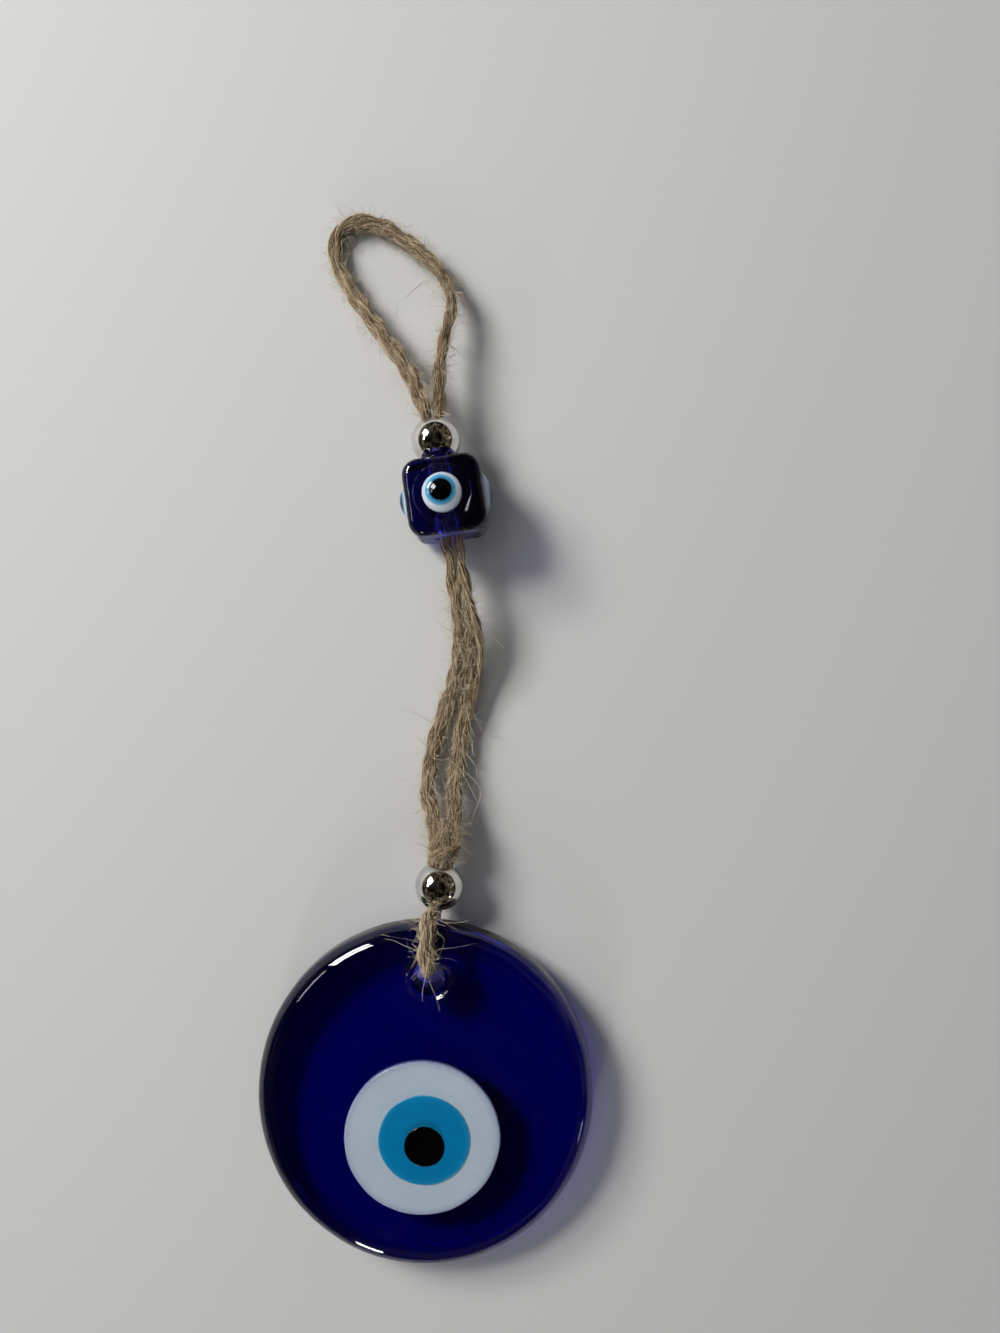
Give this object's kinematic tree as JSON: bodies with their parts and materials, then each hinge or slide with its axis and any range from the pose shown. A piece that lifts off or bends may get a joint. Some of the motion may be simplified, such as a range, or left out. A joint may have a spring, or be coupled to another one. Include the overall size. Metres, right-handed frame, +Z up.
{
  "type": "evil eye ornament",
  "caption": "Hanging charm: a blue glass eye disc on jute twine with silvered beads, a glass cube bead and a hanging loop.",
  "frame": {"origin": "on the surface the ornament lies on, under the middle of its glass and beads taken without the twine", "axes": "+Y from the disc along the twine to the hanging loop, +Z up, out of the front of the eye, +X to the right seen from the front"},
  "size_m": [0.055, 0.1743, 0.0144],
  "materials": {
    "disc_glass": "deep cobalt glass, poured and fire polished",
    "cube_glass": "deep cobalt glass, moulded",
    "white_glass": "opaque white glass, satin gloss",
    "turquoise_glass": "opaque turquoise glass, glossy",
    "sky_glass": "opaque light blue glass, glossy",
    "black_glass": "opaque black glass, glossy",
    "silver": "mirror-bright silver plating",
    "jute": "two-ply natural jute, hairy"
  },
  "bodies": {
    "pendant": {"glass_disc": "disc_glass", "disc_eye_white": "white_glass", "disc_eye_iris": "turquoise_glass", "disc_eye_pupil": "black_glass"},
    "bail": {"twine_bail": "jute"},
    "lower_bead": {"lower_silver_bead": "silver"},
    "cord": {"twine_knot": "jute", "left_strand": "jute", "right_strand": "jute", "left_cube_run": "jute", "right_cube_run": "jute", "left_bead_run": "jute", "right_bead_run": "jute"},
    "cube": {"cube_bead": "cube_glass", "cube_eye_front_white": "white_glass", "cube_eye_front_iris": "sky_glass", "cube_eye_front_pupil": "black_glass", "cube_eye_right_white": "white_glass", "cube_eye_right_iris": "sky_glass", "cube_eye_right_pupil": "black_glass", "cube_eye_back_white": "white_glass", "cube_eye_back_iris": "sky_glass", "cube_eye_back_pupil": "black_glass", "cube_eye_left_white": "white_glass", "cube_eye_left_iris": "sky_glass", "cube_eye_left_pupil": "black_glass"},
    "upper_bead": {"upper_silver_bead": "silver"},
    "loop": {"hanging_loop": "jute"}
  },
  "joints": [
    {"name": "bail_swing", "type": "hinge", "parent": "pendant", "child": "bail", "pos_m": [0.0006, -0.0218, 0.0056], "axis": [0, 0, 1], "range_deg": [-20, 20]},
    {"name": "lower_bead_turn", "type": "hinge", "parent": "bail", "child": "lower_bead", "pos_m": [0.00224, -0.0075, 0.0052], "axis": [0.1139, 0.9935, 0], "continuous": true},
    {"name": "cord_fold", "type": "hinge", "parent": "bail", "child": "cord", "pos_m": [0.00305, -0.0004, 0.0052], "axis": [1, 0, 0], "range_deg": [0, 85]},
    {"name": "cube_slide", "type": "slide", "parent": "cord", "child": "cube", "axis": [0.1392, -0.9903, 0], "range_m": [0, 0.006]},
    {"name": "upper_bead_turn", "type": "hinge", "parent": "cord", "child": "upper_bead", "pos_m": [0.00179, 0.06523, 0.0072], "axis": [-0.1392, 0.9903, 0], "continuous": true},
    {"name": "loop_fold", "type": "hinge", "parent": "cord", "child": "loop", "pos_m": [0.00109, 0.07024, 0.0072], "axis": [0.9903, 0.1392, 0], "range_deg": [0, 80]}
  ]
}
